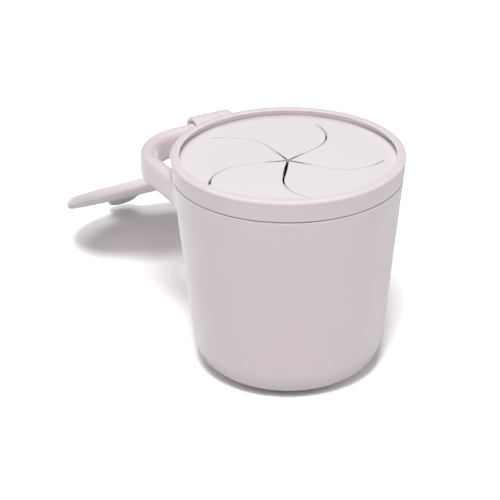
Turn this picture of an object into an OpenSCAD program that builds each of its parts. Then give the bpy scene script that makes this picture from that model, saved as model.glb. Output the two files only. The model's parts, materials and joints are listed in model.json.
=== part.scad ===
// Toddler snack container: a tapered cup with a loop handle moulded on,
// a collar that holds a soft membrane cut into five curved flaps, and a
// cover that swings on the handle's pin and plugs the collar's recess.
// +Y points to the handle, +Z up, origin at the middle of the base.

/* [Cup] */
// Outer diameter of the cup at the top of the collar
top_d = 88; // [80:0.5:96]
// Overall height, from the table to the top of the collar
total_h = 87.4; // [80:0.1:96]
// Outer diameter that the tapered wall would have at the table
base_d = 71; // [66:0.5:74]
// Radius of the fillet between wall and base
foot_r = 14.4; // [10:0.1:16]
// Thickness of the cup's wall and floor
wall = 3; // [2.4:0.1:3.6]

/* [Collar] */
// Height of the collar above the seam
collar_h = 8.6; // [8.2:0.1:10]
// Width of the fine gap that shows as the seam
seam = 0.35; // [0.2:0.05:0.6]
// Height of the cup's neck inside the collar
neck_h = 2.4; // [1.8:0.1:2.8]
// Thickness of the cup's neck
neck_t = 1.5; // [1.3:0.1:1.6]
// Radial play between neck and collar
neck_play = 0.12; // [0.08:0.01:0.2]
// Width of the rim, from its outer edge to the recess
rim_w = 3.5; // [3.2:0.1:4.2]
// Rounding of the rim's outer edge
rim_r = 1.6; // [0.8:0.1:1.8]
// Rounding of the rim's inner edge
rim_inner_r = 0.5; // [0.2:0.1:0.7]

/* [Membrane] */
// Depth of the recess from the rim to the membrane
recess = 3.5; // [3:0.1:4]
// Thickness of the soft membrane
skin_t = 1.6; // [1.2:0.1:1.8]
// How far the membrane's edge sits in the collar's groove
groove = 1.3; // [0.8:0.1:1.4]
// Radius of the concave lip where the membrane turns up the recess wall
lip_r = 2.4; // [1.6:0.1:2.6]
// Number of flaps
flaps = 5; // [5:1:5]
// Radius at which the slits end
slit_end_r = 35.8; // [33:0.1:36.5]
// Length of the straight part of a slit, from the middle
slit_straight = 15; // [12:0.5:18]
// Radius of the curved part of a slit
slit_arc_r = 17.5; // [16:0.5:20]
// Width of a slit
slit_w = 0.6; // [0.3:0.05:0.9]
// Radius of the small hole where the slits meet
eye_r = 1.2; // [0.8:0.1:2]
// Compass angle of the first slit where it leaves the middle
slit_azimuth = -53.9; // [-60:0.1:-40]
// Gap along the line where a flap bends
bend_gap = 0.12; // [0.08:0.01:0.2]
// Radius of the relief where a flap's bend line meets the next slit
relief_r = 1.3; // [1:0.1:1.6]

/* [Handle] */
// Distance between the middles of the handle's two arms
handle_w = 72.6; // [68:0.1:76]
// Distance from the cup's axis to the middle of the handle's cross bar
handle_reach = 60.7; // [58:0.1:64]
// Bend radius of the handle's two corners
handle_bend = 21; // [17:0.5:24]
// Distance from the seam down to the middle of the handle
handle_drop = 7; // [6.5:0.1:9]
// Height of the handle's section
strap_h = 11.6; // [10:0.1:12.4]
// Thickness of the handle's section
strap_t = 6.4; // [6:0.1:7.6]

/* [Hinge] */
// Diameter of the pin in the middle of the cross bar
pin_d = 6.4; // [5.6:0.1:6.8]
// Radial play of the knuckle on the pin
pin_play = 0.08; // [0.04:0.01:0.1]
// How far the pin lies outside the middle of the cross bar
pin_offset = 0.6; // [0.5:0.1:1.2]
// Width of the knuckle
knuckle_w = 17.2; // [14:0.1:19]
// Wall of the knuckle round the pin
knuckle_t = 2.5; // [2.1:0.1:2.8]
// Play between the knuckle and the handle at each end
end_play = 0.5; // [0.3:0.1:1]
// Width of the knuckle's snap mouth
mouth_w = 5; // [4.4:0.1:5.4]
// How far below level the open cover hangs
open_angle = 29; // [24:0.5:32]
// How far the snap mouth of the closed cover points below level, from the handle's side
mouth_turn = 185; // [175:1:190]

/* [Cover] */
// How far the cover's edge reaches past the plug ring, over the rim
cover_lap = 1.15; // [0.9:0.05:2]
// Thickness of the cover at its edge
cover_t = 3.4; // [3:0.1:3.8]
// Thickness of the cover's middle panel
panel_t = 1.8; // [1.4:0.1:2]
// Rounding of the cover's edge, on the side that shows when it is closed
cover_edge_r = 1.4; // [0.8:0.1:1.4]
// Gap between the closed cover and the rim
cover_gap = 0.25; // [0.2:0.05:0.5]
// Play between the plug ring and the recess wall
plug_play = 0.35; // [0.3:0.05:0.6]
// How far the plug ring reaches into the recess
plug_depth = 0.7; // [0.6:0.1:1.4]
// Thickness of the plug ring
plug_t = 2; // [1.6:0.1:2.4]
// Width of the pull tab
tab_w = 13; // [10:0.5:16]
// How far the pull tab stands out from the cover
tab_l = 13; // [9:0.5:14]
// How far the pull tab is bent away from the cup
tab_lift = 10; // [6:1:14]

/* [Hidden] */

$fn = 96;
body_color = [0.83, 0.77, 0.79];
soft_color = [0.86, 0.81, 0.83];

top_r = top_d / 2;
base_r = base_d / 2;
taper = (top_r - base_r) / total_h;
slant = sqrt(1 + taper * taper);
seam_z = total_h - collar_h;
wall_angle = atan(taper);
function outer_r(z) = base_r + taper * z;
function inner_r(z) = outer_r(z) - wall * slant;

bore_r = inner_r(seam_z);
neck_r = bore_r + neck_t;
neck_top = seam_z + neck_h;
recess_r = top_r - rim_w;
skin_z = total_h - recess;
skin_low = skin_z - skin_t;
groove_r = recess_r + groove;

handle_z = seam_z - handle_drop;
pin_y = handle_reach + pin_offset;
pin_r = pin_d / 2;
pin_z = handle_z + strap_h / 2 - pin_r;
hole_r = pin_r + pin_play;
knuckle_r = hole_r + knuckle_t;
swing = 180 + open_angle;
cover_low = total_h + cover_gap;
cover_top = cover_low + cover_t;
plug_r = recess_r - plug_play;
cover_r = plug_r + cover_lap;
plug_low = total_h - plug_depth;
plug_draft = 0.65;
lap_edge_r = min(cover_edge_r, cover_lap);

// Points of an arc, from one angle to another, in n steps
function arc(cx, cy, r, from, to, n = 12) =
    [for (i = [0:n]) let (a = from + (to - from) * i / n) [cx + r * cos(a), cy + r * sin(a)]];
function reversed(p) = [for (i = [len(p) - 1:-1:0]) p[i]];
function turned(p, a) = [p[0] * cos(a) - p[1] * sin(a), p[0] * sin(a) + p[1] * cos(a)];

// --- cup ---------------------------------------------------------------

foot_x = outer_r(foot_r) - foot_r * slant;
inner_foot_r = foot_r - wall;

module cup_outer() {
    polygon(concat(
        [[0, 0]],
        arc(foot_x, foot_r, foot_r, -90, -wall_angle, 16),
        [[outer_r(seam_z), seam_z], [neck_r, seam_z], [neck_r, neck_top], [0, neck_top]]));
}

module cup_hollow() {
    polygon(concat(
        [[0, wall]],
        arc(foot_x, foot_r, inner_foot_r, -90, -wall_angle, 16),
        [[bore_r, seam_z], [bore_r, neck_top + 1], [0, neck_top + 1]]));
}

module strap_section() {
    square([strap_t, strap_h - strap_t], center = true);
    for (side = [-1, 1])
        translate([0, side * (strap_h - strap_t) / 2]) circle(d = strap_t);
}

// One half of the loop: an arm out of the wall, a corner and half the cross bar
module half_loop() {
    arm_x = handle_w / 2;
    bend_x = arm_x - handle_bend;
    bend_y = handle_reach - handle_bend;
    arm_start = 8;
    pin_gap = knuckle_w / 2 + end_play;
    translate([arm_x, arm_start, 0]) rotate([-90, 0, 0])
        linear_extrude(bend_y - arm_start) strap_section();
    translate([bend_x, bend_y, 0])
        rotate_extrude(angle = 90) translate([handle_bend, 0]) strap_section();
    translate([pin_gap, handle_reach, 0]) rotate([90, 0, 90])
        linear_extrude(bend_x - pin_gap) strap_section();
}

module hinge_pin() {
    reach = knuckle_w / 2 + end_play + 2;
    translate([0, pin_y, pin_z]) rotate([0, 90, 0])
        cylinder(r = pin_r, h = 2 * reach, center = true);
}

module cup_body() {
    color(body_color) difference() {
        union() {
            rotate_extrude() cup_outer();
            for (side = [0, 1])
                mirror([side, 0, 0]) translate([0, 0, handle_z]) half_loop();
            hinge_pin();
        }
        rotate_extrude() cup_hollow();
    }
}

// --- collar and membrane -------------------------------------------------

module lid_collar() {
    low = seam_z + seam;
    ledge_z = neck_top + seam;
    collar_bore = neck_r + neck_play;
    color(body_color) rotate_extrude() polygon(concat(
        [[collar_bore, low], [outer_r(low), low]],
        arc(top_r - rim_r, total_h - rim_r, rim_r, -wall_angle, 90, 8),
        arc(recess_r + rim_inner_r, total_h - rim_inner_r, rim_inner_r, 90, 180, 5),
        [[recess_r, skin_z], [groove_r, skin_z], [groove_r, skin_low],
         [bore_r, skin_low], [bore_r, ledge_z], [collar_bore, ledge_z]]));
}

// Middle line of a slit: straight from the middle, then an arc that ends where
// it is slit_end_r from the middle
slit_pole = norm([slit_straight, slit_arc_r]);
slit_sweep = atan2(slit_arc_r, slit_straight)
    + asin((pow(slit_end_r, 2) - pow(slit_pole, 2) - pow(slit_arc_r, 2)) / (2 * slit_arc_r * slit_pole));
slit_steps = 18;
bend_step = 10;
function slit_line(side) =
    concat([[0, -side * slit_w / 2], [slit_straight, -side * slit_w / 2]],
        [for (i = [1:slit_steps]) let (a = slit_sweep * i / slit_steps, r = slit_arc_r + side * slit_w / 2)
            [slit_straight + r * sin(a), slit_arc_r - r * cos(a)]]);
function slit_angle(k) = slit_azimuth + k * 360 / flaps;
function slit_points(k, side = 0) = [for (p = slit_line(side)) turned(p, slit_angle(k))];
function slit_tip(k) = slit_points(k)[slit_steps + 1];
// A flap bends along the line from its own slit's end to a point on the next slit
function bend_end(k) = slit_points(k + 1)[bend_step + 1];
function flap_outline(k) = concat(slit_points(k),
    reversed([for (i = [0:bend_step + 1]) slit_points(k + 1)[i]]));

module slit(k) {
    polygon(concat(slit_points(k, 1), reversed(slit_points(k, -1))));
    translate(slit_tip(k)) circle(d = slit_w, $fn = 16);
}

module flap_membrane() {
    color(soft_color) difference() {
        rotate_extrude() polygon(concat(
            [[0, skin_low], [groove_r, skin_low], [groove_r, skin_z], [recess_r, skin_z],
             [recess_r, skin_z + lip_r]],
            arc(recess_r - lip_r, skin_z + lip_r, lip_r, 0, -90, 8),
            [[0, skin_z]]));
        translate([0, 0, skin_low - 1]) linear_extrude(skin_t + 2)
            for (k = [0:flaps - 1]) {
                polygon(flap_outline(k));
                slit(k);
            }
    }
}

// A flap lies between two slits
module flap(k) {
    bend = bend_end(k) - slit_tip(k);
    color(soft_color) translate([0, 0, skin_low]) linear_extrude(skin_t) difference() {
        polygon(flap_outline(k));
        slit(k);
        slit(k + 1);
        circle(r = eye_r, $fn = 24);
        translate(slit_tip(k)) rotate(atan2(bend[1], bend[0])) translate([-1, -bend_gap])
            square([norm(bend) + 2, 2 * bend_gap]);
        translate(bend_end(k)) circle(r = relief_r, $fn = 24);
    }
}

// --- cover -----------------------------------------------------------------

// The cover's panel with its plug ring, closed
module panel() {
    panel_low = cover_top - panel_t;
    rotate_extrude() polygon(concat(
        [[0, panel_low], [plug_r - plug_t, panel_low], [plug_r - plug_t, plug_low],
         [plug_r - plug_draft * plug_depth, plug_low], [plug_r, total_h], [plug_r, cover_low]],
        arc(cover_r - lap_edge_r, cover_low + lap_edge_r, lap_edge_r, -90, 0, 5),
        arc(cover_r - cover_edge_r, cover_top - cover_edge_r, cover_edge_r, 0, 90, 5),
        [[0, cover_top]]));
}

// The arm leaves the panel level and curves down to the knuckle
module arm() {
    arm_start = plug_r - plug_t;
    bend_y = top_r + 2;
    bend_r = pin_y - bend_y;
    arm_low = cover_low;
    bend_z = arm_low - (bend_r - cover_t);
    curve_low = max(pin_z, bend_z);
    intersection() {
        translate([-knuckle_w / 2, bend_y, curve_low])
            cube([knuckle_w, bend_r + 1, cover_top - curve_low]);
        translate([-knuckle_w / 2, bend_y, bend_z]) rotate([0, 90, 0]) difference() {
            cylinder(r = bend_r, h = knuckle_w);
            translate([0, 0, -1]) cylinder(r = bend_r - cover_t, h = knuckle_w + 2);
        }
    }
    translate([-knuckle_w / 2, arm_start, arm_low])
        cube([knuckle_w, bend_y - arm_start, cover_t]);
    // From the end of the curve it runs straight down into the knuckle
    if (bend_z > pin_z)
        translate([-knuckle_w / 2, pin_y - cover_t, pin_z])
            cube([knuckle_w, cover_t, bend_z - pin_z]);
}

// The pull tab stands out opposite the hinge
module tab() {
    root_y = cover_r - 2;
    translate([0, -root_y, cover_low]) rotate([-tab_lift, 0, 0]) linear_extrude(cover_t) {
        translate([-tab_w / 2, -(tab_l + 2 - tab_w / 2)]) square([tab_w, tab_l + 2 - tab_w / 2]);
        translate([0, -(tab_l + 2 - tab_w / 2)]) circle(d = tab_w);
    }
}

module closed_cover() {
    difference() {
        union() {
            panel();
            arm();
            tab();
            translate([-knuckle_w / 2, pin_y, pin_z]) rotate([0, 90, 0])
                cylinder(r = knuckle_r, h = knuckle_w);
        }
        translate([-knuckle_w / 2 - 1, pin_y, pin_z]) rotate([0, 90, 0])
            cylinder(r = hole_r, h = knuckle_w + 2);
        // The snap mouth, through which the knuckle goes on to the pin
        translate([0, pin_y, pin_z]) rotate([-mouth_turn, 0, 0])
            translate([-knuckle_w / 2 - 1, 0, -mouth_w / 2]) cube([knuckle_w + 2, knuckle_r + 1, mouth_w]);
    }
}

// The cover is drawn open, as it hangs on the handle
module snap_cover() {
    color(body_color) translate([0, pin_y, pin_z]) rotate([-swing, 0, 0])
        translate([0, -pin_y, -pin_z]) closed_cover();
}

cup_body();
lid_collar();
flap_membrane();
flap(0);  // flap_1
flap(1);  // flap_2
flap(2);  // flap_3
flap(3);  // flap_4
flap(4);  // flap_5
snap_cover();
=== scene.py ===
import json
import math

import bmesh
import bpy
from mathutils import Matrix, Vector


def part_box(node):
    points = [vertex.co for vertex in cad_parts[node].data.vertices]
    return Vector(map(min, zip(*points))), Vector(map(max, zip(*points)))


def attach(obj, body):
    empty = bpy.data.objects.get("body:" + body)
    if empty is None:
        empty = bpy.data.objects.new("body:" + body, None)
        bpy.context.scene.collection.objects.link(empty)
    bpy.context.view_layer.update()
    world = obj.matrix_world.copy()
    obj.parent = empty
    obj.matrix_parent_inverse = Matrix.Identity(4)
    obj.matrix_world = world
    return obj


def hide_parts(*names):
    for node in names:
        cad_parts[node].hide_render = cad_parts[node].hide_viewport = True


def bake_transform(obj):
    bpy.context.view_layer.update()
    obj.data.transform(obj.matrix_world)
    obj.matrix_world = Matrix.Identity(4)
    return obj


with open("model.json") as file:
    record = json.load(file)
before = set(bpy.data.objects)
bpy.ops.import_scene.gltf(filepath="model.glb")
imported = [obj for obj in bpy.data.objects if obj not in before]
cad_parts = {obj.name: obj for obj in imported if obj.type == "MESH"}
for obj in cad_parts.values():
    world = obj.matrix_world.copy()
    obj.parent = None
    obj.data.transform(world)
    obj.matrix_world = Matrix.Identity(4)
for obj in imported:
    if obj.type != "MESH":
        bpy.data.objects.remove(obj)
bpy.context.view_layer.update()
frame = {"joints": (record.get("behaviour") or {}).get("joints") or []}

collarLow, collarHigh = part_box("lid_collar")
flapLow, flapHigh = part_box("flap_1")
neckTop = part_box("cup_body")[1].z
rimHeight = collarHigh.z  # top of the collar, all heights count from the table
skinTop = flapHigh.z
skinBottom = flapLow.z


# meshes are drawn as lists of points and faces, and made into objects by these
cornerAngle = 50.0  # degrees, two faces that meet more sharply are a corner
weldDistance = 0.000002  # points closer than this become one


def circlePoint(centre, radius, degrees):
    a = math.radians(degrees)
    return (centre[0] + radius * math.cos(a), centre[1] + radius * math.sin(a))


def arcPoints(centre, radius, start, end, steps):
    turn = (end - start) / steps
    return [circlePoint(centre, radius, start + turn * i) for i in range(steps + 1)]


def mix(a, b, t):
    return a + (b - a) * t


def markCorners(mesh):
    # true corners stay crisp, roundings stay smooth
    bm = bmesh.new()
    bm.from_mesh(mesh)
    for edge in bm.edges:
        if len(edge.link_faces) == 2:
            edge.smooth = edge.calc_face_angle() < math.radians(cornerAngle)
    bm.to_mesh(mesh)
    bm.free()


def makePiece(name, points, faces, body, finish, nodes=()):
    mesh = bpy.data.meshes.new(name)
    mesh.from_pydata(points, [], faces)
    bm = bmesh.new()
    bm.from_mesh(mesh)
    bmesh.ops.remove_doubles(bm, verts=bm.verts, dist=weldDistance)
    bmesh.ops.recalc_face_normals(bm, faces=bm.faces)
    bm.to_mesh(mesh)
    bm.free()
    mesh.shade_smooth()
    markCorners(mesh)
    mesh.materials.append(finish)
    piece = bpy.data.objects.new(name, mesh)
    bpy.context.collection.objects.link(piece)
    if body:
        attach(piece, body)
    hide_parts(*nodes)
    return piece


def evenNormals(piece):
    # large flat faces keep their own normal, so roundings stay crisp
    weighted = piece.modifiers.new("even normals", "WEIGHTED_NORMAL")
    weighted.weight = 80
    weighted.keep_sharp = True


def loopFaces(first, count, rings):
    # quads between closed rings of the same number of points
    faces = []
    for r in range(rings - 1):
        a = first + r * count
        b = a + count
        for i in range(count):
            j = (i + 1) % count
            faces.append((a + i, a + j, b + j, b + i))
    return faces


def spinProfile(profile, columns):
    # a closed profile of (radius, height) turned all the way round
    points = []
    for c in range(columns):
        a = 2.0 * math.pi * c / columns
        points += [(r * math.cos(a), r * math.sin(a), z) for r, z in profile]
    n = len(profile)
    faces = []
    for c in range(columns):
        d = (c + 1) % columns
        for i in range(n):
            j = (i + 1) % n
            faces.append((c * n + i, c * n + j, d * n + j, d * n + i))
    return points, faces


# short ways to add shader nodes
def addMath(tree, operation, a, b):
    node = tree.nodes.new("ShaderNodeMath")
    node.operation = operation
    for socket, value in zip(node.inputs, (a, b)):
        if isinstance(value, float):
            socket.default_value = value
        else:
            tree.links.new(value, socket)
    return node.outputs[0]


def addBlend(tree, factor, a, b):
    # colour a where the factor is 0, colour b where it is 1
    node = tree.nodes.new("ShaderNodeMix")
    node.data_type = "RGBA"
    node.inputs["A"].default_value = (*a, 1.0)
    node.inputs["B"].default_value = (*b, 1.0)
    tree.links.new(factor, node.inputs["Factor"])
    return node.outputs["Result"]


# the camera, the lamps and the floor
studio = {
    "camera": (-0.351043, -0.616272, 0.402753),  # where the viewer stands
    "yaw": -28.5,  # degrees, turned towards the handle's side
    "pitch": 26.66,  # degrees below the horizon
    "roll": -0.493,
    "lens": 150.28,
    "world": 0.13,  # strength of the soft white surroundings
    "aim": (0.0, 0.04, 0.03),
    "panels": {  # where each disc hangs, its size and its power
        "front panel": ((-0.38, -0.60, 1.23), 0.38, 13.8),
        "overhead panel": ((-0.15, 0.22, 1.38), 1.00, 5.3),
        "left panel": ((-1.12, 0.61, 0.64), 0.80, 0.8),
        "right panel": ((1.16, -0.63, 0.53), 0.80, 2.4),
    },
    "floorSize": 12.0,
    "floorDrop": 0.00005,  # keeps it clear of the cup's foot
    "fadeStart": 0.32,  # from here the floor fades to plain white
    "fadeEnd": 0.62,
    "floorColor": (0.75, 0.75, 0.75),  # as a source of bounced light
    "floorSeen": (1.45, 1.45, 1.45),  # so that the lit floor is plain white to the eye
}


def makeCamera(s):
    data = bpy.data.cameras.new("camera")
    data.lens = s["lens"]
    data.sensor_width = 36.0
    cam = bpy.data.objects.new("camera", data)
    bpy.context.collection.objects.link(cam)
    turn = Matrix.Rotation(math.radians(s["yaw"]), 4, "Z")
    tip = Matrix.Rotation(math.radians(90.0 - s["pitch"]), 4, "X")
    roll = Matrix.Rotation(math.radians(s["roll"]), 4, "Z")
    cam.matrix_world = Matrix.Translation(s["camera"]) @ turn @ tip @ roll
    bpy.context.scene.camera = cam


def seenRays(tree):
    # 1 for what the eye sees straight, in a gloss or through glass, 0 for scattered light
    path = tree.nodes.new("ShaderNodeLightPath").outputs
    straight = addMath(tree, "MAXIMUM", path["Is Camera Ray"], path["Is Glossy Ray"])
    return addMath(tree, "MAXIMUM", straight, path["Is Transmission Ray"])


def makeWorld(s):
    world = bpy.data.worlds.new("soft white room")
    bpy.context.scene.world = world
    world.use_nodes = True
    tree = world.node_tree
    background = tree.nodes["Background"]
    background.inputs["Color"].default_value = (1.0, 1.0, 1.0, 1.0)
    strength = tree.nodes.new("ShaderNodeMapRange")  # white where it is seen, softer as light
    strength.inputs["To Min"].default_value = s["world"]
    strength.inputs["To Max"].default_value = 1.0
    tree.links.new(seenRays(tree), strength.inputs["Value"])
    tree.links.new(strength.outputs["Result"], background.inputs["Strength"])


def makePanel(s, name):
    place, size, power = s["panels"][name]
    data = bpy.data.lights.new(name, "AREA")
    data.shape = "DISK"
    data.size = size
    data.energy = power
    lamp = bpy.data.objects.new(name, data)
    bpy.context.collection.objects.link(lamp)
    lamp.location = place
    towards = Vector(s["aim"]) - Vector(place)
    lamp.rotation_euler = towards.to_track_quat("-Z", "Y").to_euler()


def makeFloor(s):
    low = (0.0, 0.0, -s["floorDrop"])
    bpy.ops.mesh.primitive_plane_add(size=s["floorSize"], location=low)
    floor = bpy.context.object
    floor.name = "floor"
    material = bpy.data.materials.new("pale floor")
    material.use_nodes = True
    tree = material.node_tree
    tree.nodes.remove(tree.nodes["Principled BSDF"])
    shader = tree.nodes.new("ShaderNodeBsdfDiffuse")
    seen = seenRays(tree)
    color = addBlend(tree, seen, s["floorColor"], s["floorSeen"])
    tree.links.new(color, shader.inputs["Color"])
    place = tree.nodes.new("ShaderNodeTexCoord")
    reach = tree.nodes.new("ShaderNodeVectorMath")
    reach.operation = "LENGTH"
    tree.links.new(place.outputs["Object"], reach.inputs[0])
    fade = tree.nodes.new("ShaderNodeMapRange")
    fade.interpolation_type = "SMOOTHSTEP"
    fade.inputs["From Min"].default_value = s["fadeStart"]
    fade.inputs["From Max"].default_value = s["fadeEnd"]
    tree.links.new(reach.outputs["Value"], fade.inputs["Value"])
    tree.links.new(seen, fade.inputs["To Max"])
    white = tree.nodes.new("ShaderNodeEmission")
    both = tree.nodes.new("ShaderNodeMixShader")
    tree.links.new(fade.outputs["Result"], both.inputs["Fac"])
    tree.links.new(shader.outputs["BSDF"], both.inputs[1])
    tree.links.new(white.outputs["Emission"], both.inputs[2])
    tree.links.new(both.outputs["Shader"], tree.nodes["Material Output"].inputs["Surface"])
    floor.data.materials.append(material)


makeCamera(studio)
makeWorld(studio)
for panel in studio["panels"]:
    makePanel(studio, panel)
makeFloor(studio)
print("studio: camera, room,", len(studio["panels"]), "panels and floor")


# the two finishes and the node groups that they share
matte = {
    "color": (0.765, 0.672, 0.702),  # pale mauve
    "wornAndHighlitEdgeColor": (0.820, 0.782, 0.794),  # paler on rounded edges: partly wear from handling, partly a painted highlight
    "drift": 0.035,  # how far the tone wanders
    "driftScale": 22.0,
    "roughness": 0.66,
    "polish": 0.04,  # smoother on rubbed edges
    "smudge": 0.06,  # and where hands have been
    "grainScale": 1500.0,
    "grainDepth": 0.000012,
    "edgeRadius": 0.0016,
    "specular": 0.28,
    "sheen": 1.0,
    "sheenRoughness": 0.40,
}

silicone = {
    "color": (0.752, 0.716, 0.728),  # the same mauve, greyer
    # paler on rounded edges: partly wear, partly a painted highlight
    "wornAndHighlitEdgeColor": (0.770, 0.738, 0.749),
    "drift": 0.03,
    "driftScale": 30.0,
    "roughness": 0.58,
    "polish": 0.05,
    "smudge": 0.07,
    "grainScale": 2200.0,
    "grainDepth": 0.000008,
    "edgeRadius": 0.0005,
    "specular": 0.30,
    "sheen": 0.16,
    "sheenRoughness": 0.40,
}

effects = {
    "rippleScale": 0.09,  # the ripple under the grain, as a share of the grain's scale
    "rippleHeight": 1.8,  # and of its height
    "edgeMaskSpread": 9.0,  # how soon a rounding counts as a worn and highlit edge
    "edgeMaskPatches": 160.0,  # scale of the patches where the edge stays plain, as where hands missed it
    "smudgePatches": 55.0,
    "smudgeFrom": 0.42,
    "smudgeTo": 0.62,
}


def newGroup(name, inputs, outputs):
    group = bpy.data.node_groups.new(name, "ShaderNodeTree")
    number = "NodeSocketFloat"
    for label, value in inputs:
        socket = group.interface.new_socket(label, in_out="INPUT", socket_type=number)
        socket.default_value = value
    for label in outputs:
        group.interface.new_socket(label, in_out="OUTPUT", socket_type=number)
    return group, group.nodes.new("NodeGroupInput"), group.nodes.new("NodeGroupOutput")


def addNoise(tree, scale, detail, roughness=0.5):
    noise = tree.nodes.new("ShaderNodeTexNoise")
    noise.inputs["Detail"].default_value = detail
    noise.inputs["Roughness"].default_value = roughness
    place = tree.nodes.new("ShaderNodeTexCoord")
    tree.links.new(place.outputs["Object"], noise.inputs["Vector"])
    if isinstance(scale, float):
        noise.inputs["Scale"].default_value = scale
    else:
        tree.links.new(scale, noise.inputs["Scale"])
    return noise.outputs["Fac"]


def makeToneDrift():
    # a slow wander of tone, as in pigment that is not perfectly mixed
    inputs = [("Scale", 20.0), ("Amount", 0.03)]
    group, given, result = newGroup("tone drift", inputs, ["Tone"])
    slow = addNoise(group, given.outputs["Scale"], 3.0)
    centred = addMath(group, "SUBTRACT", slow, 0.5)
    swing = addMath(group, "MULTIPLY", centred, given.outputs["Amount"])
    tone = addMath(group, "ADD", addMath(group, "MULTIPLY", swing, 2.0), 1.0)
    group.links.new(tone, result.inputs["Tone"])
    return group


def makeMouldGrain():
    # the fine spark-eroded grain of a mould, with a longer shallow ripple under it
    inputs = [("Scale", 1500.0), ("Depth", 0.00001)]
    group, given, result = newGroup("mould grain", inputs, ["Height"])
    fine = addNoise(group, given.outputs["Scale"], 2.0, 0.6)
    longer = addMath(group, "MULTIPLY", given.outputs["Scale"], effects["rippleScale"])
    ripple = addMath(group, "MULTIPLY", addNoise(group, longer, 1.0), effects["rippleHeight"])
    both = addMath(group, "ADD", fine, ripple)
    height = addMath(group, "MULTIPLY", both, given.outputs["Depth"])
    group.links.new(height, result.inputs["Height"])
    return group


def makeWornAndHighlitEdges():
    # 1 on rounded edges within the given radius, broken up in patches as wear where hands missed
    # them; the paler colour laid on these edges is partly wear, partly painted highlight
    group, given, result = newGroup("worn and highlit edges", [("Radius", 0.001)], ["Mask"])
    bevel = group.nodes.new("ShaderNodeBevel")
    bevel.samples = 4
    group.links.new(given.outputs["Radius"], bevel.inputs["Radius"])
    shape = group.nodes.new("ShaderNodeNewGeometry")
    compare = group.nodes.new("ShaderNodeVectorMath")
    compare.operation = "DOT_PRODUCT"
    group.links.new(bevel.outputs["Normal"], compare.inputs[0])
    group.links.new(shape.outputs["Normal"], compare.inputs[1])
    turned = addMath(group, "SUBTRACT", 1.0, compare.outputs["Value"])
    edges = addMath(group, "MULTIPLY", turned, effects["edgeMaskSpread"])
    mask = addMath(group, "MULTIPLY", edges, addNoise(group, effects["edgeMaskPatches"], 3.0, 0.65))
    held = group.nodes.new("ShaderNodeClamp")
    group.links.new(mask, held.inputs["Value"])
    group.links.new(held.outputs["Result"], result.inputs["Mask"])
    return group


def makeSmudges():
    # soft patches where hands have polished or dulled the surface
    group, given, result = newGroup("smudges", [("Amount", 0.05)], ["Change"])
    patch = addNoise(group, effects["smudgePatches"], 4.0, 0.55)
    steps = group.nodes.new("ShaderNodeMapRange")
    steps.interpolation_type = "SMOOTHSTEP"
    steps.inputs["From Min"].default_value = effects["smudgeFrom"]
    steps.inputs["From Max"].default_value = effects["smudgeTo"]
    steps.inputs["To Min"].default_value = -1.0
    steps.inputs["To Max"].default_value = 1.0
    group.links.new(patch, steps.inputs["Value"])
    change = addMath(group, "MULTIPLY", steps.outputs["Result"], given.outputs["Amount"])
    group.links.new(change, result.inputs["Change"])
    return group


toneDrift = makeToneDrift()
mouldGrain = makeMouldGrain()
wornAndHighlitEdges = makeWornAndHighlitEdges()
smudges = makeSmudges()


def placeGroup(tree, group, **values):
    node = tree.nodes.new("ShaderNodeGroup")
    node.node_tree = group
    for label, value in values.items():
        node.inputs[label].default_value = value
    return node.outputs


def makeFinish(name, f):
    material = bpy.data.materials.new(name)
    material.use_nodes = True
    tree = material.node_tree
    shader = tree.nodes["Principled BSDF"]
    drift = placeGroup(tree, toneDrift, Scale=f["driftScale"], Amount=f["drift"])
    grain = placeGroup(tree, mouldGrain, Scale=f["grainScale"], Depth=f["grainDepth"])
    wornAndHighlit = placeGroup(tree, wornAndHighlitEdges, Radius=f["edgeRadius"])
    hands = placeGroup(tree, smudges, Amount=f["smudge"])
    # paler colour on rounded edges: partly wear, partly a painted highlight
    tint = addBlend(tree, wornAndHighlit["Mask"], f["color"], f["wornAndHighlitEdgeColor"])
    shaded = tree.nodes.new("ShaderNodeVectorMath")
    shaded.operation = "SCALE"
    tree.links.new(tint, shaded.inputs["Vector"])
    tree.links.new(drift["Tone"], shaded.inputs["Scale"])
    tree.links.new(shaded.outputs["Vector"], shader.inputs["Base Color"])
    worn = addMath(tree, "MULTIPLY", wornAndHighlit["Mask"], -f["polish"])
    rough = addMath(tree, "ADD", addMath(tree, "ADD", worn, f["roughness"]), hands["Change"])
    tree.links.new(rough, shader.inputs["Roughness"])
    bump = tree.nodes.new("ShaderNodeBump")
    bump.inputs["Distance"].default_value = 1.0
    tree.links.new(grain["Height"], bump.inputs["Height"])
    tree.links.new(bump.outputs["Normal"], shader.inputs["Normal"])
    shader.inputs["Specular IOR Level"].default_value = f["specular"]
    shader.inputs["Sheen Weight"].default_value = f["sheen"]
    shader.inputs["Sheen Roughness"].default_value = f["sheenRoughness"]
    return material


mattePlastic = makeFinish("matte mauve plastic", matte)
softSilicone = makeFinish("soft silicone", silicone)
print("finishes: matte plastic and soft silicone")


# the cup and its loop handle, one moulding
cup = {
    "baseRadius": 0.0355,  # what the tapered wall would have at the table
    "topRadius": 0.0440,  # at the top of the collar
    "footRadius": 0.0144,
    "wall": 0.0030,
    "seamHeight": 0.07862,
    "neckThickness": 0.0015,
    "neckRounding": 0.0003,
    "neckRoot": 0.0001,  # corner between the neck and the shoulder
    "edge": 0.00014,  # rounding of the shoulder at the seam
    "dish": 0.0005,  # hollow under the base
    "dishMargin": 0.0040,  # from the hollow to the start of the foot's curve
    "dishSlope": 0.0012,
    "dishTurn": 0.00012,  # height at which the slope eases into the ring it stands on
    "column": 2.25,  # degrees between two columns of the wall
    "steps": 17,  # columns across the patch that an arm grows from
    "levels": 7,  # rows of that patch
    "patchStart": 9.0,  # degrees from the handle's side to the patch
    "patchLow": 0.0617,
    "patchHigh": 0.0785,
}

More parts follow.
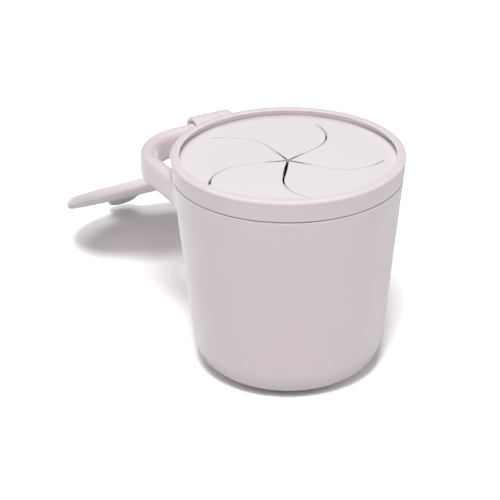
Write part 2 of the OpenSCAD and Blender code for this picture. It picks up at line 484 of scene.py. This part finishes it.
handle = {
    "armPlace": 0.0363,  # from the middle to each arm
    "reach": 0.0607,
    "bend": 0.0210,
    "height": 0.0718,
    "halfWidth": 0.0032,
    "halfHeight": 0.0058,
    "flare": 0.0028,  # how far the root spreads over the wall
    "outerFlare": 0.0034,  # added on the side where the arm leaves the wall gently
    "pinRadius": 0.0032,
    "pinCentre": (0.0006, 0.0026),  # outwards and up from the strap's middle
    "pinStart": 0.0093,  # where the round pin begins, from the middle
    "pinRings": (0.006, 0.003, 0.0),
    "shoulder": 0.0114,  # where the strap begins to narrow
    "barStart": 0.0135,
    "gentleReach": 0.35,  # how much further the gentle side of the root runs out
    "upper": 0.02,  # a side of the root that points up more than this stays below the seam
    "seamRoom": 0.0003,  # kept clear between the root and the top of the patch
    "leastFlare": 0.0004,
    "rootEnd": 0.0030,  # the root has faded this far before the bend
    "wallRings": 3,
    "flareRings": 6,
    "armRings": 4,
    "bendRings": 16,
    "narrowRings": 10,
}


def outerRadius(z):
    return mix(cup["baseRadius"], cup["topRadius"], z / rimHeight)


taper = (cup["topRadius"] - cup["baseRadius"]) / rimHeight
slant = math.hypot(1.0, taper)
lean = math.degrees(math.atan(taper))


def cupProfile(c):
    # from the middle of the base, up the outside, over the neck, down the inside
    foot = (outerRadius(c["footRadius"]) - c["footRadius"] * slant, c["footRadius"])
    edge = c["edge"]
    dish = foot[0] - c["dishMargin"]
    slope = c["dishSlope"]
    rows = [(0.0, c["dish"]), (dish * 0.5, c["dish"]), (dish, c["dish"])]
    rows += [(dish + slope, c["dishTurn"]), (dish + slope * 1.5, 0.0), (foot[0] - slope, 0.0)]
    rows += arcPoints(foot, c["footRadius"], -90.0, -lean, 20)
    wallStart = rows[-1][1]
    for i in range(1, 8):
        z = mix(wallStart, c["patchLow"], i / 8)
        rows.append((outerRadius(z), z))
    patchRow = len(rows)
    for i in range(c["levels"] + 1):
        z = mix(c["patchLow"], c["patchHigh"], i / c["levels"])
        rows.append((outerRadius(z), z))
    shoulder = c["seamHeight"]
    rows += arcPoints((outerRadius(shoulder) - edge, shoulder - edge), edge, -lean, 90.0, 4)
    bore = outerRadius(shoulder) - c["wall"] * slant
    neck = bore + c["neckThickness"]
    rows += [(neck + c["neckRoot"], shoulder), (neck, shoulder + c["neckRoot"])]
    r = c["neckRounding"]
    rows += arcPoints((neck - r, neckTop - r), r, 0.0, 90.0, 4)
    rows += arcPoints((bore + r, neckTop - r), r, 90.0, 180.0, 4)
    for i in range(1, 9):
        z = mix(neckTop - r, c["footRadius"], i / 9)
        rows.append((min(bore, outerRadius(z) - c["wall"] * slant), z))
    rows += arcPoints(foot, c["footRadius"] - c["wall"], -lean, -90.0, 14)
    rows += [(foot[0] * 0.66, c["wall"]), (foot[0] * 0.33, c["wall"]), (0.0, c["wall"])]
    return rows, patchRow


def strapPoint(h, across, up):
    # where a ray from the middle of the strap's section meets its rounded outline
    length = math.hypot(across, up)
    x, z = across / length, up / length
    radius = h["halfWidth"]
    straight = h["halfHeight"] - radius
    if abs(x) > 1e-9 and abs(z) * radius / abs(x) <= straight:
        t = radius / abs(x)
    else:
        t = straight * abs(z) + math.sqrt(straight**2 * (z * z - 1.0) + radius**2)
    return (x * t, z * t)


def wallPoint(degrees, z):
    x, y = circlePoint((0.0, 0.0), outerRadius(z), degrees)
    return (x, y, z)


def armRings(c, h):
    # rings of points from the patch's border over the flared root and along half the loop
    border = [(i, 0) for i in range(c["steps"])]
    border += [(c["steps"], i) for i in range(c["levels"])]
    border += [(i, c["levels"]) for i in range(c["steps"], 0, -1)]
    border += [(0, i) for i in range(c["levels"], 0, -1)]
    section = []
    grid = []
    for column, level in border:
        p = 2.0 * column / c["steps"] - 1.0
        q = 2.0 * level / c["levels"] - 1.0
        section.append(strapPoint(h, -p * h["halfWidth"], q * h["halfHeight"]))
        grid.append((c["patchStart"] + column * c["column"],
                     mix(c["patchLow"], c["patchHigh"], level / c["levels"])))
    crossing = []
    for u, v in section:
        x, z = h["armPlace"] + u, h["height"] + v
        y = math.sqrt(outerRadius(z) ** 2 - x * x)
        crossing.append((x, y, z, math.degrees(math.atan2(y, x))))
    root, spread = [], []
    n = len(section)
    degreesPerMetre = math.degrees(1.0 / outerRadius(h["height"]))
    for i, (x, y, z, angle) in enumerate(crossing):
        before, after = crossing[i - 1], crossing[(i + 1) % n]
        alongWall = (after[3] - before[3]) / degreesPerMetre
        alongUp = after[2] - before[2]
        size = math.hypot(alongWall, alongUp)
        outwards = (alongUp / size, -alongWall / size)
        gentle = max(0.0, -outwards[0])
        flare = h["flare"] + h["outerFlare"] * gentle**2
        if outwards[1] > h["upper"]:
            room = (c["patchHigh"] - h["seamRoom"] - z) / outwards[1]
            flare = min(flare, max(room, h["leastFlare"]))
        spread.append((angle + outwards[0] * flare * degreesPerMetre, z + outwards[1] * flare))
        root.append((x, y + flare * (1.0 + h["gentleReach"] * gentle), z))
    rings = []
    for k in range(h["wallRings"] + 1):
        t = k / h["wallRings"]
        pairs = zip(grid, spread)
        rings.append([wallPoint(mix(g[0], s[0], t), mix(g[1], s[1], t)) for g, s in pairs])
    for k in range(1, h["flareRings"] + 1):
        # a parabola from the wall to the arm, with its corner where the two would meet
        t = k / h["flareRings"]
        pull = ((1 - t) ** 2, 2 * t * (1 - t), t * t)
        ring = []
        for s, hit, r in zip(spread, crossing, root):
            a = wallPoint(*s)
            ring.append(tuple(pull[0] * a[j] + pull[1] * hit[j] + pull[2] * r[j] for j in range(3)))
        rings.append(ring)
    bendStart = h["reach"] - h["bend"]
    for k in range(1, h["armRings"] + 1):
        t = k / h["armRings"]
        rings.append([(r[0], mix(r[1], bendStart - h["rootEnd"], t), r[2]) for r in root])
    # along the loop: a place, the heading there and how far the strap has become the pin
    path = [((h["armPlace"], bendStart - h["rootEnd"] / 2), 0.0, 0.0)]
    centre = (h["armPlace"] - h["bend"], bendStart)
    for k in range(h["bendRings"] + 1):
        a = 90.0 * k / h["bendRings"]
        path.append((circlePoint(centre, h["bend"], a), a, 0.0))
    path += [((x, h["reach"]), 90.0, 0.0) for x in (h["barStart"], h["shoulder"])]
    for k in range(1, h["narrowRings"] + 1):
        t = k / h["narrowRings"]
        x = mix(h["shoulder"], h["pinStart"], t)
        path.append(((x, h["reach"]), 90.0, math.sin(math.radians(90.0 * t)) ** 2))
    path += [((x, h["reach"]), 90.0, 1.0) for x in h["pinRings"]]
    for place, angle, narrow in path:
        outX, outY = math.cos(math.radians(angle)), math.sin(math.radians(angle))
        ring = []
        for u, v in section:
            a = math.degrees(math.atan2(v, u))
            pinU, pinV = circlePoint(h["pinCentre"], h["pinRadius"], a)
            across, up = mix(u, pinU, narrow), mix(v, pinV, narrow)
            ring.append((place[0] + outX * across, place[1] + outY * across, h["height"] + up))
        rings.append(ring)
    return rings


def makeCup(c, h):
    rows, patchRow = cupProfile(c)
    columns = round(180.0 / c["column"]) + 1
    points = []
    for r, z in rows:
        for i in range(columns):
            x, y = circlePoint((0.0, 0.0), r, -90.0 + i * c["column"])
            points.append((x, y, z))
    firstColumn = round((c["patchStart"] + 90.0) / c["column"])
    faces = []
    for row in range(len(rows) - 1):
        for i in range(columns - 1):
            inPatch = patchRow <= row < patchRow + c["levels"]
            if inPatch and firstColumn <= i < firstColumn + c["steps"]:
                continue
            a = row * columns + i
            faces.append((a, a + 1, a + columns + 1, a + columns))
    rings = armRings(c, h)
    faces += loopFaces(len(points), len(rings[0]), len(rings))
    for ring in rings:
        points += ring
    count = len(points)
    points += [(-x, y, z) for x, y, z in points]
    faces += [tuple(count + i for i in reversed(face)) for face in faces]
    piece = makePiece("cup_with_handle", points, faces, "cup", mattePlastic, ["cup_body"])
    evenNormals(piece)
    return piece


cupPiece = makeCup(cup, handle)
print("cup: wall, neck and loop handle", len(cupPiece.data.polygons), "faces")


# the lid: a collar that holds the soft membrane
collar = {
    "rimWidth": 0.0035,
    "outerRounding": 0.0012,
    "innerRounding": 0.0004,
    "overhang": 0.0019,  # of the rim's bead over the recess wall
    "beadTurn": 240.0,  # degrees to which the bead's rounding runs on
    "wallTurn": 0.0005,  # concave turn from the recess wall to the membrane
    "foot": 0.0003,  # thickness of that turn's edge, let into the membrane
    "seamEdge": 0.00014,
    "seamLand": 0.0004,  # flat inner border of the face at the seam
    "neckGap": 0.00035,  # over the top of the cup's neck
    "throatEdge": 0.0002,
    "bore": 0.04177,  # clears the cup's neck
    "throat": 0.04015,  # flush with the inside of the cup
    "grooveRadius": 0.0418,
    "columns": 200,
}

membrane = {
    "flaps": 5,
    "joinRadius": 0.0380,  # where the flaps grow out of the fixed edge
    "eye": 0.0012,  # small hole in the middle
    "straight": 0.0150,  # straight part of a slit
    "arc": 0.0175,  # radius of its curved part
    "sweep": 82.804,  # degrees of that part
    "azimuth": -53.9,  # degrees to the first slit
    "slitWidth": 0.00062,
    "tipWidth": 0.00110,
    "tipSpread": 0.0045,  # length over which that width is felt
    "eyeWidth": 0.00044,
    "eyeSpread": 0.0050,
    "gaping": (0.0, 0.0, 0.0, 0.0, 0.00042),  # how much wider each slit stands open
    "gapingPlace": 0.0090,  # from the middle to where it stands widest
    "gapingSpread": 0.0090,
    "tipLength": 0.0014,  # over which a slit closes
    "edge": 0.00012,
    "bendLength": 0.0075,  # over which a flap bends
    "crowding": 1.1,  # above 1, rows stand closer near the eye
    "rows": 46,
    "columns": 30,
}

recessRadius = collarHigh.x - collar["rimWidth"]
wallRadius = recessRadius + collar["overhang"]
footRadius = wallRadius - collar["wallTurn"]


def makeCollar(c):
    low = collarLow.z
    edge = c["seamEdge"]
    top = rimHeight
    r = c["outerRounding"]
    ledge = neckTop + c["neckGap"]
    profile = [(c["bore"], low), (c["bore"] + c["seamLand"], low), (outerRadius(low) - edge, low)]
    profile += arcPoints((outerRadius(low) - edge, low + edge), edge, -45.0, -lean, 3)
    profile += [(outerRadius(z), z) for z in (low + 0.002, low + 0.0045, top - r - 0.0006)]
    profile += arcPoints((collarHigh.x - r, top - r), r, -lean, 90.0, 14)
    i = c["innerRounding"]
    profile += [(recessRadius + i + 0.0003, top)]
    profile += arcPoints((recessRadius + i, top - i), i, 90.0, c["beadTurn"], 12)
    turn = c["wallTurn"]
    profile += arcPoints((footRadius, skinTop + turn), turn, 0.0, -90.0, 12)
    foot = skinTop - c["foot"]
    profile += [(footRadius, foot), (c["grooveRadius"], foot), (c["grooveRadius"], skinBottom)]
    chamfer = c["throatEdge"]
    profile += [(c["throat"] + chamfer, skinBottom), (c["throat"], skinBottom - chamfer)]
    profile += [(c["throat"], ledge), (c["bore"], ledge)]
    points, faces = spinProfile(profile, c["columns"])
    piece = makePiece("collar_ring", points, faces, "lid", mattePlastic, ["lid_collar"])
    evenNormals(piece)
    return piece


def makeFixedEdge(c, m):
    # the part of the membrane that stays still, held under the collar's foot
    join = m["joinRadius"]
    foot = skinTop - c["foot"]
    profile = [(join, skinBottom), (c["grooveRadius"], skinBottom), (c["grooveRadius"], foot)]
    profile += [(footRadius, foot), (footRadius, skinTop), (join, skinTop)]
    points, faces = spinProfile(profile, c["columns"])
    nodes = ["flap_membrane"]
    return makePiece("membrane_edge", points, faces, "lid", softSilicone, nodes)


def slitPlace(m, s):
    # a point of the slit's middle line and its direction, s metres from the middle
    if s <= m["straight"]:
        return s, 0.0, 0.0
    a = min((s - m["straight"]) / m["arc"], math.radians(m["sweep"]))
    return m["straight"] + m["arc"] * math.sin(a), m["arc"] * (1.0 - math.cos(a)), a


def slitHalfWidth(m, s, length, k):
    # a width of its own at the eye and near the tip, where the slit closes
    nearTip = math.exp(-(((length - m["tipLength"] - s) / m["tipSpread"]) ** 2))
    nearEye = math.exp(-((s / m["eyeSpread"]) ** 2))
    nearGape = math.exp(-(((s - m["gapingPlace"]) / m["gapingSpread"]) ** 2))
    width = m["slitWidth"] + (m["tipWidth"] - m["slitWidth"]) * nearTip
    width += (m["eyeWidth"] - m["slitWidth"]) * nearEye
    width += m["gaping"][k % m["flaps"]] * nearGape
    close = min(max((length - s) / m["tipLength"], 0.0), 1.0)
    return 0.5 * width * close * (2.0 - close)


def polar(x, y, turn=0.0):
    return math.hypot(x, y), math.atan2(y, x) + turn


def makeFlap(m, k):
    # rows run from one slit to the next, from the eye out to the fixed edge
    turn = 2.0 * math.pi / m["flaps"]
    heading = math.radians(m["azimuth"]) + k * turn
    length = m["straight"] + m["arc"] * math.radians(m["sweep"])
    n = m["columns"]
    tip = m["tipLength"]
    shares = [(i / m["rows"]) ** m["crowding"] for i in range(m["rows"])]
    stations = [mix(m["eye"], length - tip, t) for t in shares]
    stations += [length - tip * t for t in (1.0, 0.8, 0.6, 0.4, 0.25, 0.12, 0.04, 0.0)]
    rings = []
    for s in stations:
        x, y, a = slitPlace(m, s)
        dx, dy = math.sin(a), math.cos(a)
        start, end = slitHalfWidth(m, s, length, k), slitHalfWidth(m, s, length, k + 1)
        radius, angle = polar(x, y)
        between = [(radius, angle + turn * i / n) for i in range(1, n)]
        edges = []
        for inset in (0.0, m["edge"]):
            near, far = start + inset, end + inset
            nearSide = polar(x - dx * near, y + dy * near)
            edges.append((nearSide, polar(x + dx * far, y - dy * far, turn)))
        wall, top = edges
        rings.append((wall[0], wall[1], [top[0]] + between + [top[1]]))
    for t in (0.3, 0.6, 1.0):
        r = mix(radius, m["joinRadius"], t)
        across = [(r, angle + turn * i / n) for i in range(n + 1)]
        rings.append((across[0], across[-1], across))
    points = []
    for startWall, endWall, top in rings:
        loop = [(*startWall, skinTop - m["edge"])] + [(*p, skinTop) for p in top]
        loop += [(*endWall, skinTop - m["edge"]), (*endWall, skinBottom)]
        loop += [(*p, skinBottom) for p in reversed(top[1:-1])] + [(*startWall, skinBottom)]
        points += [(r * math.cos(a + heading), r * math.sin(a + heading), z) for r, a, z in loop]
    count = len(points) // len(rings)
    faces = loopFaces(0, count, len(rings))
    for first in (0, len(points) - count):
        # the ends at the eye and at the fixed edge
        for i in range(n):
            top = first + 1 + i
            low = first + count - 1 - i
            faces.append((top, top + 1, low - 1, low))
        faces.append((first, first + 1, first + count - 1))
        faces.append((first + n + 1, first + n + 2, first + n + 3))
    name = "flap_%d" % (k + 1)
    piece = makePiece("soft_" + name, points, faces, None, softSilicone, [name])
    hinge = next(j for j in frame["joints"] if j["child"] == name)
    start = Vector(hinge["pos_m"])
    start.z = skinTop
    inwards = Vector(hinge["axis"]).cross(Vector((0.0, 0.0, 1.0))).normalized()
    if inwards.dot(start) > 0.0:
        inwards.negate()
    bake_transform(piece)
    return piece


collarPiece = makeCollar(collar)
fixedEdge = makeFixedEdge(collar, membrane)
flapPieces = [makeFlap(membrane, k) for k in range(membrane["flaps"])]
print("lid: collar, fixed edge and", len(flapPieces), "flaps")


# the cover is drawn closed and then swung open about the handle's pin
cover = {
    "radius": 0.0413,
    "gap": 0.00025,  # above the rim when it is closed
    "thickness": 0.0034,
    "panel": 0.0018,  # thickness inside the plug ring
    "topRounding": 0.0016,
    "lapRounding": 0.0009,
    "plugRadius": 0.04015,
    "plugDepth": 0.0007,
    "plugDraft": 0.00045,
    "plugThickness": 0.0020,
    "plugRoot": 0.0002,
    "plugEdge": 0.0003,
    "roofCorner": 0.0004,  # between the plug ring and the panel inside it
    "topCircles": (0.0, 0.012, 0.024, 0.034, 0.0385),
    "roofCircles": (0.030, 0.020, 0.010, 0.0),
    "armHalfWidth": 0.0086,
    "armFillet": 0.0050,
    "armBendStart": 0.0460,
    "armBendRadius": 0.0136,  # of the arm's middle
    "armBendAngle": 80.0,
    "armCorner": 0.0018,
    "armFlare": 0.55,  # the arm thickens by this share where it meets the knuckle
    "armFlareLength": 0.0060,
    "tabHalfWidth": 0.0065,
    "tabLength": 0.0128,
    "tabFillet": 0.0040,
    "tabBendStart": 0.0402,
    "tabBendLength": 0.0028,
    "tabLift": 10.0,
    "rows": 28,  # along the arm
}

knuckle = {
    "halfWidth": 0.0086,
    "bore": 0.00328,
    "wall": 0.0025,
    "rounding": 0.0008,
    "bellDepth": 0.0026,  # the bore opens out at both ends
    "bellRise": 0.0015,
    "mouth": 0.0050,
    "mouthTurn": 185.0,  # degrees from outwards by way of down, with the cover closed
    "lip": 0.0009,  # rounding of the mouth's lips
    "lipThinning": 0.72,  # how far the wall thins at their ends
    "columns": 72,
}

coverHinge = next(j for j in frame["joints"] if j["child"] == "cover")
pinPlace = Vector(coverHinge["pos_m"])
swing = math.radians(coverHinge["range_deg"][0])
coverBottom = rimHeight + cover["gap"]
coverTop = coverBottom + cover["thickness"]
coverMiddle = (coverBottom + coverTop) / 2


def armLength(c):
    # from the cover's middle to the arm's end, laid flat
    return c["armBendStart"] + c["armBendRadius"] * math.radians(c["armBendAngle"])


def filletFrom(c, halfWidth, radius):
    # middle of the concave arc between the round cover and a straight strip, and its angle
    x = halfWidth + radius
    y = math.sqrt((c["radius"] + radius) ** 2 - x * x)
    return x, y, math.degrees(math.atan2(y, x))


def coverOutline(c):
    # right half from the arm's end to the tab's tip, then its mirror image
    armEnd = armLength(c)
    corner = c["armCorner"]
    half = [((c["armHalfWidth"] - corner) * i / 5, armEnd) for i in range(5)]
    half += arcPoints((c["armHalfWidth"] - corner, armEnd - corner), corner, 90.0, 0.0, 8)
    x, y, angle = filletFrom(c, c["armHalfWidth"], c["armFillet"])
    half += [(c["armHalfWidth"], mix(armEnd - corner, y, i / 16)) for i in range(1, 16)]
    half += arcPoints((x, y), c["armFillet"], 180.0, 180.0 + angle, 9)
    tabX, tabY, tabAngle = filletFrom(c, c["tabHalfWidth"], c["tabFillet"])
    half += arcPoints((0.0, 0.0), c["radius"], angle, -tabAngle, 60)[1:-1]
    half += arcPoints((tabX, -tabY), c["tabFillet"], 180.0 - tabAngle, 180.0, 8)
    tip = c["radius"] + c["tabLength"] - c["tabHalfWidth"]
    half += [(c["tabHalfWidth"], mix(-tabY, -tip, i / 3)) for i in (1, 2)]
    half += arcPoints((0.0, -tip), c["tabHalfWidth"], 0.0, -90.0, 12)
    return half + [(-px, py) for px, py in reversed(half[1:-1])]


def insetOutline(outline, inset):
    moved = []
    n = len(outline)
    for i in range(n):
        (ax, ay), (bx, by) = outline[i - 1], outline[(i + 1) % n]
        size = math.hypot(bx - ax, by - ay)
        nx, ny = (by - ay) / size, (ax - bx) / size  # points inwards on a clockwise outline
        moved.append((outline[i][0] + nx * inset, outline[i][1] + ny * inset))
    return moved


def bendCover(c, point):
    # the arm curls down to the pin and the tab lifts a little
    x, y, z = point
    if y > c["armBendStart"]:
        flareStart = armLength(c) - c["armFlareLength"]
        near = min(max((y - flareStart) / c["armFlareLength"], 0.0), 1.0)
        z = coverMiddle + (z - coverMiddle) * (1.0 + c["armFlare"] * near * near)
        centre = coverMiddle - c["armBendRadius"]
        angle = (y - c["armBendStart"]) / c["armBendRadius"]
        radius = z - centre
        y = c["armBendStart"] + radius * math.sin(angle)
        return x, y, centre + radius * math.cos(angle)
    if y < -c["tabBendStart"]:
        lift = math.radians(c["tabLift"])
        beyond = -y - c["tabBendStart"]
        turned = min(beyond / c["tabBendLength"], 1.0) * lift
        radius = c["tabBendLength"] / lift
        rise = radius - (z - coverMiddle)
        straight = max(beyond - c["tabBendLength"], 0.0)
        y = -(c["tabBendStart"] + rise * math.sin(turned) + straight * math.cos(turned))
        z = coverMiddle + radius - rise * math.cos(turned) + straight * math.sin(turned)
        return x, y, z
    return x, y, z


def coverRows(c):
    # rows of points from the top's middle over the edge to the underside's middle
    outline = coverOutline(c)
    rows = []

    def circle(radius, z, like):
        row = []
        for x, y in like:
            size = math.hypot(x, y)
            row.append((x / size * radius, y / size * radius, z))
        rows.append(row)

    def across(start, end, z):
        for k in range(1, c["rows"] + 1):
            t = k / c["rows"]
            rows.append([(mix(a[0], b[0], t), mix(a[1], b[1], t), z) for a, b in zip(start, end)])

    top = insetOutline(outline, c["topRounding"])
    rounding = c["topRounding"]
    for radius in (*c["topCircles"], c["radius"] - rounding):
        circle(radius, coverTop, top)
    across(rows[-1], top, coverTop)
    edge = arcPoints((rounding, coverTop - rounding), rounding, 90.0, 180.0, 8)[1:]
    lap = c["lapRounding"]
    edge += arcPoints((lap, coverBottom + lap), lap, 180.0, 270.0, 6)
    for inset, z in edge:
        rows.append([(x, y, z) for x, y in insetOutline(outline, inset)])
    start = rows[-1]
    lapCircle = [(c["radius"] - lap) / math.hypot(x, y) for x, y, z in start]
    across(start, [(p[0] * t, p[1] * t) for p, t in zip(start, lapCircle)], coverBottom)
    plug = c["plugRadius"]
    low = rimHeight - c["plugDepth"]
    inside = plug - c["plugThickness"]
    roof = coverTop - c["panel"]
    r = c["plugRoot"]
    section = arcPoints((plug + r, coverBottom - r), r, 90.0, 180.0, 3)
    r = c["plugEdge"]
    section += arcPoints((plug - c["plugDraft"] - r, low + r), r, 0.0, -90.0, 4)
    section += arcPoints((inside + r, low + r), r, -90.0, -180.0, 4)
    r = c["roofCorner"]
    section += arcPoints((inside - r, roof - r), r, 0.0, 90.0, 4)
    section += [(radius, roof) for radius in (inside - r * 3.0, *c["roofCircles"])]
    for radius, z in section:
        circle(radius, z, outline)
    return rows


def makeKnuckle(k):
    # a ring round the pin, open at the mouth, rounded outside and flared at the bore's ends
    w, e = k["halfWidth"], k["rounding"]
    outer = k["bore"] + k["wall"]
    side = arcPoints((w - e, outer - e), e, 90.0, 0.0, 6)
    bell = []
    for a in range(0, 91, 15):
        x, y = circlePoint((0.0, 0.0), 1.0, a)
        bell.append((w - k["bellDepth"] * (1.0 - x), k["bore"] + k["bellRise"] * (1.0 - y)))
    half = side + bell
    section = half + [(-x, r) for x, r in reversed(half)]
    middle = k["bore"] + k["wall"] / 2
    points = []
    lipTurns = [0.0, 25.0, 50.0, 72.0, 90.0]
    columns = [(0, a) for a in lipTurns] + [(i, 90.0) for i in range(1, k["columns"])]
    columns += [(k["columns"], a) for a in reversed(lipTurns)]
    mouthTurn = math.radians(k["mouthTurn"])
    for i, lipTurn in columns:
        shrink = 1.0 - math.sin(math.radians(lipTurn))
        back = k["lip"] * (1.0 - math.cos(math.radians(lipTurn)))
        for x, r in section:
            px = x * (1.0 - shrink * k["lip"] / w)
            pr = middle + (r - middle) * (1.0 - shrink * k["lipThinning"])
            opening = math.asin(k["mouth"] / 2 / pr) + back / pr
            a = mix(opening, 2.0 * math.pi - opening, i / k["columns"]) - mouthTurn
            points.append((px, pinPlace.y + pr * math.cos(a), pinPlace.z + pr * math.sin(a)))
    n = len(section)
    faces = loopFaces(0, n, len(columns))
    faces += [tuple(range(n)), tuple(len(points) - n + j for j in range(n))]
    return makePiece("knuckle", points, faces, None, mattePlastic)


def swingOpen(piece):
    turn = Matrix.Rotation(swing, 4, "X")
    piece.data.transform(Matrix.Translation(pinPlace) @ turn @ Matrix.Translation(-pinPlace))


def uniteInto(piece, other):
    joined = piece.modifiers.new("unite", "BOOLEAN")
    joined.operation = "UNION"
    joined.solver = "EXACT"
    joined.object = other
    with bpy.context.temp_override(object=piece, active_object=piece):
        bpy.ops.object.modifier_apply(modifier=joined.name)
    bpy.data.objects.remove(other)


def makeCover(c, k):
    rows = coverRows(c)
    points = [bendCover(c, p) for row in rows for p in row]
    faces = loopFaces(0, len(rows[0]), len(rows))
    piece = makePiece("flip_cover", points, faces, None, mattePlastic, ["snap_cover"])
    uniteInto(piece, makeKnuckle(k))
    markCorners(piece.data)
    swingOpen(piece)
    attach(piece, "cover")
    evenNormals(piece)
    return piece


coverPiece = makeCover(cover, knuckle)
print("cover: plate, plug ring, arm, knuckle and tab", len(coverPiece.data.polygons), "faces")


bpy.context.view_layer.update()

scene = bpy.context.scene
scene.view_settings.view_transform = "Standard"
